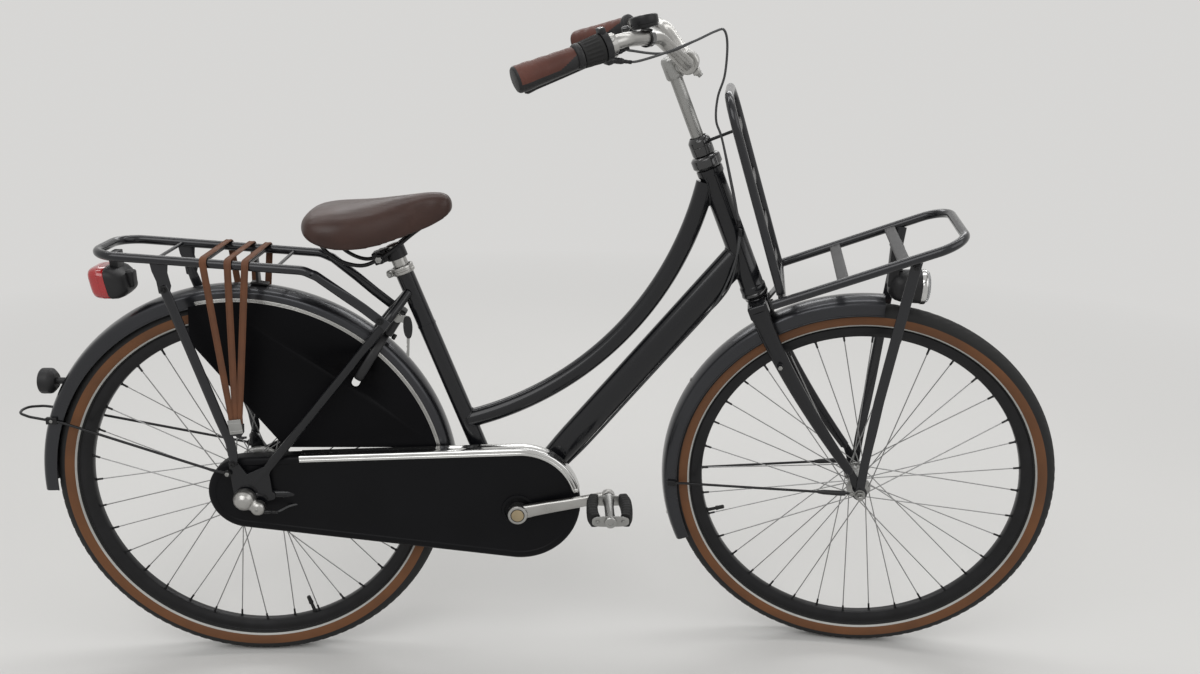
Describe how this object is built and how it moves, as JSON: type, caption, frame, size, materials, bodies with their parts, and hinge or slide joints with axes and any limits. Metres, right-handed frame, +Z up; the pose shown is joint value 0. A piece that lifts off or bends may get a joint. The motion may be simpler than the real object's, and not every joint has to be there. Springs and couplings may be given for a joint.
{
  "type": "transport bicycle",
  "caption": "Step-through transport bicycle with front and rear carriers, full fenders, closed chain case, coat guards, ring lock, swept handlebar and sprung saddle.",
  "frame": {"origin": "centre of the whole bicycle's box at floor level, under the wheels", "axes": "+X from the rear wheel towards the front wheel, +Y to the rider's left, +Z up"},
  "size_m": [1.9068, 0.5984, 1.2077],
  "materials": {
    "frame": "satin graphite-black paint",
    "black": "moulded black",
    "steel": "plated",
    "polished": "polished",
    "fender": "dark grey metallic paint",
    "rack": "satin dark grey metallic paint",
    "red": "clear red",
    "strap": "brown elastic",
    "guard": "black lacquered sheet",
    "case": "black, lightly grained",
    "chrome": "bright",
    "cable": "black outer sleeve",
    "alloy": "satin",
    "saddle": "brown imitation leather",
    "black_metal": "satin black",
    "leather": "brown imitation leather",
    "lens": "clear",
    "rubber": "moulded black",
    "tyre": "brown rubber with a pale stripe",
    "rim": "black anodised"
  },
  "bodies": {
    "frame": {"main_frame": "frame", "headset_lower_cup": "black", "headset_upper_cup": "black", "bottom_bracket_unit": "steel", "seat_clamp": "polished", "rear_fender": "fender", "rear_rack": "rack", "rear_light_body": "black", "rear_light_lens": "red", "rear_reflector": "black", "elastic_straps": "strap", "coat_guard_right": "guard", "coat_guard_left": "guard", "chain_case_outer": "case", "chain_case_inner": "case", "chain_case_trim": "chrome", "chain": "steel", "rear_axle": "steel", "gear_click_box": "chrome", "shift_cable_frame": "cable", "brake_cable_frame": "cable", "rear_roller_brake": "alloy", "ring_lock_housing": "black"},
    "saddle_post": {"seatpost": "polished", "saddle_cover": "saddle", "saddle_frame": "black_metal"},
    "lock_shackle": {"ring_lock_shackle": "steel"},
    "lock_key": {"ring_lock_key": "steel"},
    "kickstand": {"kickstand_leg": "black_metal"},
    "steering": {"fork": "frame", "headset_lock_nut": "black", "stem": "polished", "handlebar": "polished", "grip_right": "leather", "grip_left": "leather", "brake_lever_bracket": "polished", "shifter_housing": "black", "bell": "black", "front_rack_platform": "rack", "front_rack_upright": "rack", "headlight_body": "black", "headlight_lens": "lens", "front_fender": "fender", "front_axle": "steel", "shift_cable_bar": "cable", "brake_cable_bar": "cable"},
    "brake_lever": {"brake_lever": "black_metal"},
    "shifter_sleeve": {"shifter_sleeve": "rubber"},
    "bell_striker": {"bell_striker": "black"},
    "front_wheel": {"front_tyre": "tyre", "front_rim": "rim", "front_hub_with_spokes": "alloy"},
    "rear_wheel": {"rear_tyre": "tyre", "rear_rim": "rim", "rear_hub_with_spokes": "alloy"},
    "sprocket": {"sprocket": "steel"},
    "crank": {"crank_right": "polished", "crank_left": "polished"},
    "pedal_right": {"pedal_right": "rubber"},
    "pedal_left": {"pedal_left": "rubber"}
  },
  "joints": [
    {"name": "steering", "type": "hinge", "parent": "frame", "child": "steering", "pos_m": [0.54753, -0.03355, 0.33368], "axis": [-0.3827, 0, 0.9239], "range_deg": [-49.2, 70.8]},
    {"name": "front_wheel_spin", "type": "hinge", "parent": "steering", "child": "front_wheel", "pos_m": [0.60198, -0.04479, 0.35623], "axis": [0.1731, 0.9823, 0.0717], "continuous": true},
    {"name": "rear_wheel_spin", "type": "hinge", "parent": "frame", "child": "rear_wheel", "pos_m": [-0.54004, -0.03355, 0.35664], "axis": [0, 1, 0], "continuous": true},
    {"name": "crank_spin", "type": "hinge", "parent": "frame", "child": "crank", "pos_m": [-0.04504, -0.03355, 0.32064], "axis": [0, 1, 0], "continuous": true},
    {"name": "sprocket_spin", "type": "hinge", "parent": "frame", "child": "sprocket", "pos_m": [-0.54004, -0.03355, 0.35664], "axis": [0, 1, 0], "continuous": true},
    {"name": "pedal_right_spin", "type": "hinge", "parent": "crank", "child": "pedal_right", "pos_m": [0.12099, -0.12405, 0.35714], "axis": [0, 1, 0], "continuous": true},
    {"name": "pedal_left_spin", "type": "hinge", "parent": "crank", "child": "pedal_left", "pos_m": [-0.21108, 0.05695, 0.28413], "axis": [0, 1, 0], "continuous": true},
    {"name": "brake_lever_pull", "type": "hinge", "parent": "steering", "child": "brake_lever", "pos_m": [0.11166, -0.20148, 1.1493], "axis": [-0.4285, 0.3713, 0.8237], "range_deg": [0, 11], "stiffness_Nm_per_rad": 1.2},
    {"name": "shifter_turn", "type": "hinge", "parent": "steering", "child": "shifter_sleeve", "pos_m": [0.06362, -0.2453, 1.14417], "axis": [0.8919, 0.3198, 0.3198], "range_deg": [-28, 28]},
    {"name": "bell_striker_flick", "type": "hinge", "parent": "steering", "child": "bell_striker", "pos_m": [0.13616, -0.15197, 1.18645], "axis": [-0.1467, 0.0558, 0.9876], "range_deg": [-20, 0], "stiffness_Nm_per_rad": 0.02},
    {"name": "kickstand_swing", "type": "hinge", "parent": "frame", "child": "kickstand", "pos_m": [-0.11004, 0.01945, 0.29864], "axis": [0, -1, 0], "range_deg": [0, 100]},
    {"name": "lock_shackle_turn", "type": "hinge", "parent": "frame", "child": "lock_shackle", "pos_m": [-0.30981, -0.03355, 0.6037], "axis": [-0.8434, 0, 0.5373], "range_deg": [0, 118], "stiffness_Nm_per_rad": 0.03},
    {"name": "lock_key_turn", "type": "hinge", "parent": "frame", "child": "lock_key", "pos_m": [-0.25593, -0.05555, 0.68083], "axis": [0, -1, 0], "range_deg": [0, 50]},
    {"name": "saddle_height", "type": "slide", "parent": "frame", "child": "saddle_post", "axis": [-0.3518, 0, 0.9361], "range_m": [-0.01, 0.09]}
  ],
  "couplings": [
    {"joint": "sprocket_spin", "follows": "crank_spin", "ratio": 2.1111}
  ]
}
